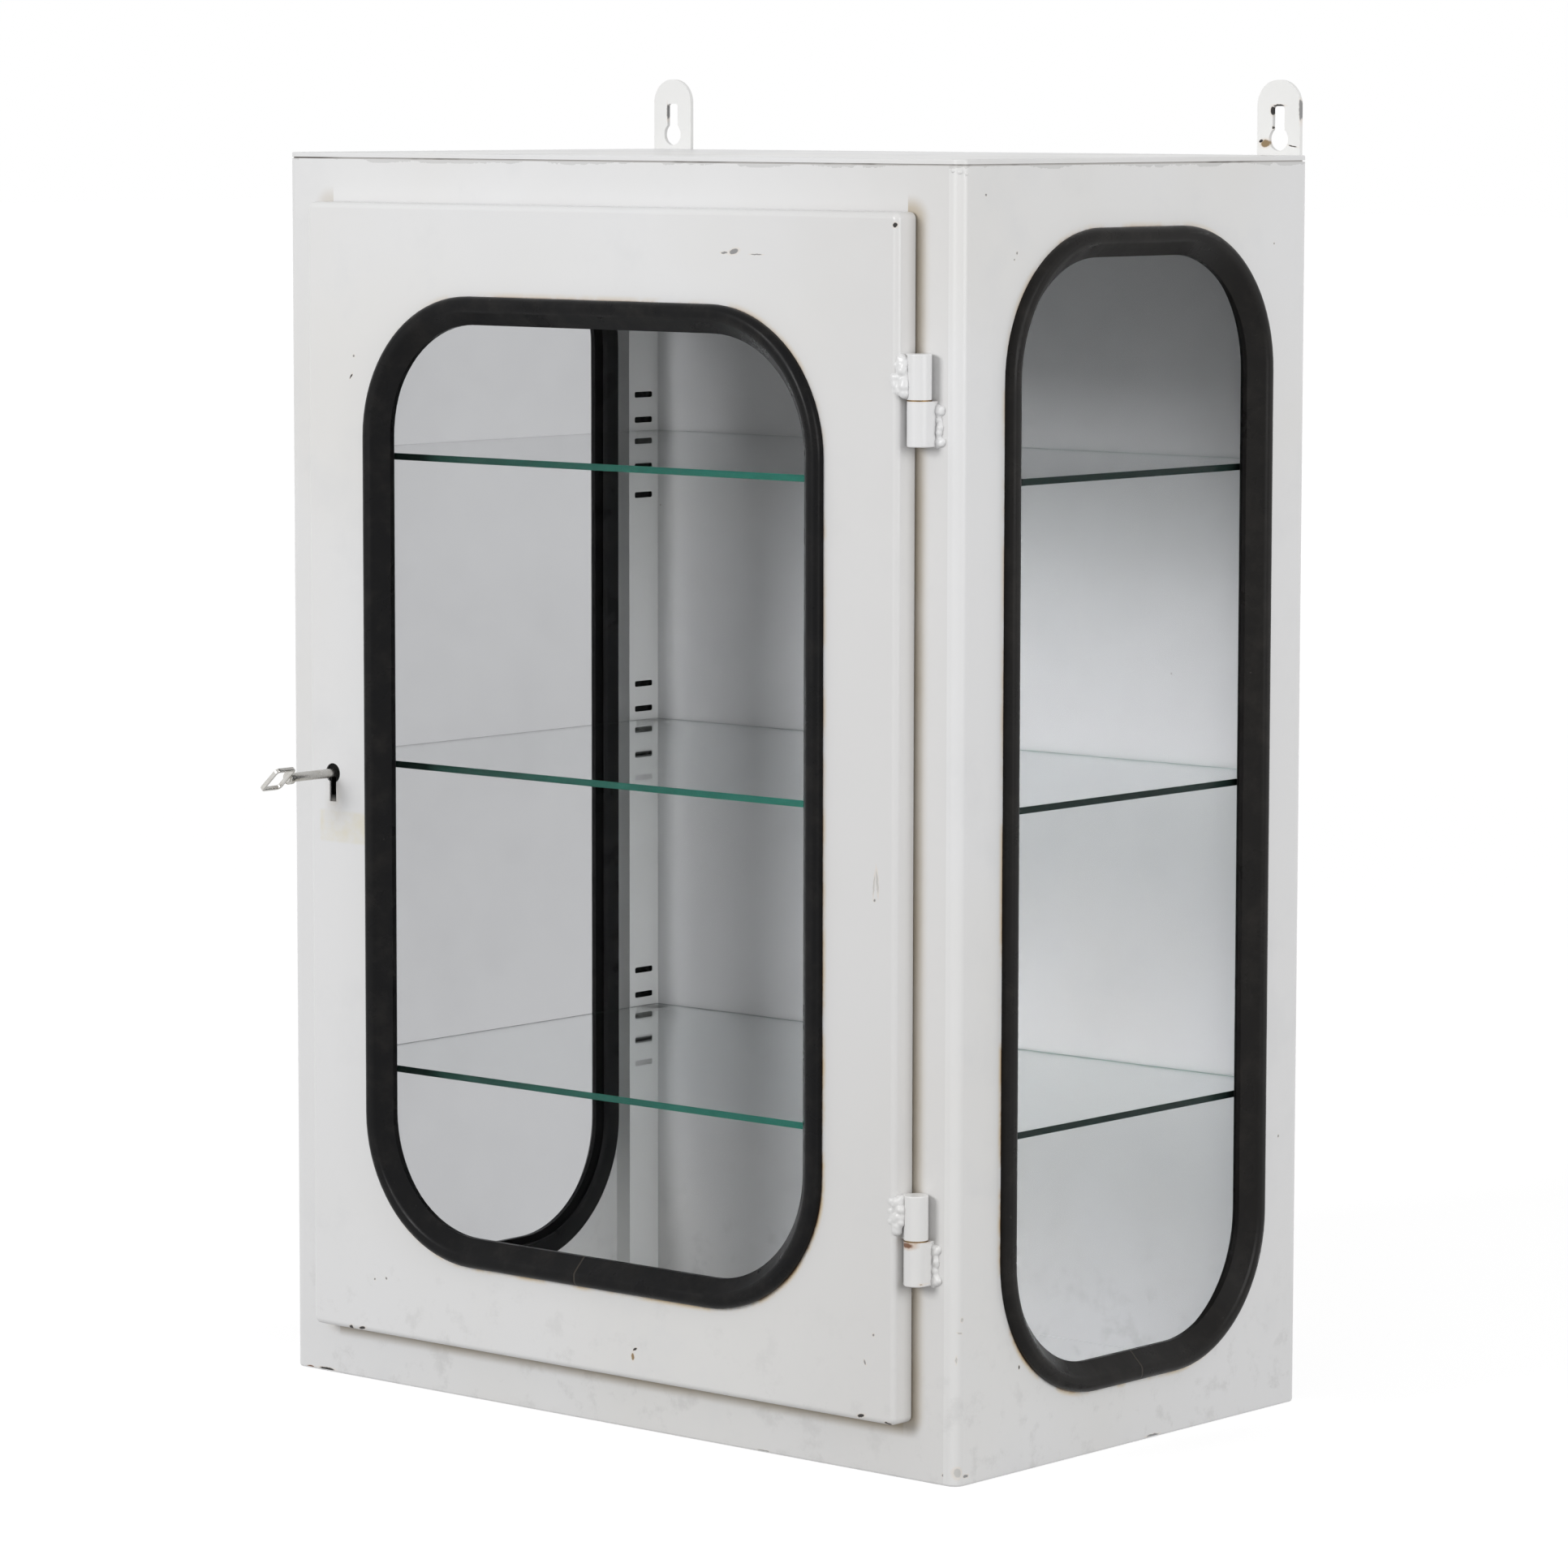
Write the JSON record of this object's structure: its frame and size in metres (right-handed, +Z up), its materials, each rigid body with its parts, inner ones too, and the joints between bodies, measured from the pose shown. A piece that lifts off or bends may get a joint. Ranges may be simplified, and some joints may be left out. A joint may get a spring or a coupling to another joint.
{
  "type": "medicine cabinet",
  "caption": "Wall-hung sheet-steel cabinet with glazed sides, glass shelves on slotted rails, and a glazed door that swings on barrel hinges and locks with a key and sliding bolt.",
  "frame": {"origin": "middle of the cabinet's underside, on the bottom sheet", "axes": "+X to the right of someone facing the door, +Y to the wall, +Z up"},
  "size_m": [0.542, 0.399, 0.7945],
  "materials": {
    "white_enamel": "gloss enamel, worn",
    "black_rubber": "shiny rubber",
    "window_glass": "clear float glass",
    "shelf_glass": "clear glass, green edges",
    "zinc_steel": "zinc plated",
    "brass": "dull",
    "nickel_key": "worn nickel plate",
    "plain_steel": "bright steel"
  },
  "bodies": {
    "carcass": {"left_side_panel": "white_enamel", "right_side_panel": "white_enamel", "left_front_stile": "white_enamel", "right_front_stile": "white_enamel", "top_panel": "white_enamel", "bottom_panel": "white_enamel", "front_top_rail": "white_enamel", "front_bottom_rail": "white_enamel", "back_panel": "white_enamel", "left_hanging_strap": "white_enamel", "right_hanging_strap": "white_enamel", "left_window_seal": "black_rubber", "right_window_seal": "black_rubber", "left_window_pane": "window_glass", "right_window_pane": "window_glass", "front_left_slotted_rail": "white_enamel", "rear_left_slotted_rail": "white_enamel", "front_right_slotted_rail": "white_enamel", "rear_right_slotted_rail": "white_enamel", "bottom_shelf": "shelf_glass", "middle_shelf": "shelf_glass", "top_shelf": "shelf_glass", "bottom_shelf_clips": "zinc_steel", "middle_shelf_clips": "zinc_steel", "top_shelf_clips": "zinc_steel", "lower_hinge_frame_half": "white_enamel", "upper_hinge_frame_half": "white_enamel", "lower_hinge_washer": "brass", "upper_hinge_washer": "brass", "lower_hinge_pin": "plain_steel", "upper_hinge_pin": "plain_steel"},
    "door": {"door_panel": "white_enamel", "door_window_seal": "black_rubber", "door_window_pane": "window_glass", "lower_hinge_door_half": "white_enamel", "upper_hinge_door_half": "white_enamel", "lock_case": "plain_steel", "lock_cover": "plain_steel", "lock_pillars": "plain_steel", "lock_cover_screws": "zinc_steel", "lock_studs": "zinc_steel", "lock_nuts": "zinc_steel", "bolt_guide_pin": "plain_steel", "bolt_spring": "zinc_steel"},
    "key": {"key": "nickel_key"},
    "bolt": {"lock_bolt": "plain_steel"}
  },
  "joints": [
    {"name": "door_swing", "type": "hinge", "parent": "carcass", "child": "door", "pos_m": [0.241, -0.17, 0.377], "axis": [0, 0, 1], "range_deg": [0, 150]},
    {"name": "key_turn", "type": "hinge", "parent": "door", "child": "key", "pos_m": [-0.213, -0.17, 0.375], "axis": [0, -1, 0], "range_deg": [0, 96]},
    {"name": "bolt_throw", "type": "slide", "parent": "door", "child": "bolt", "axis": [-1, 0, 0], "range_m": [0, 0.01676]}
  ],
  "couplings": [
    {"joint": "key_turn", "follows": "bolt_throw", "rad_per_m": 99.971}
  ]
}
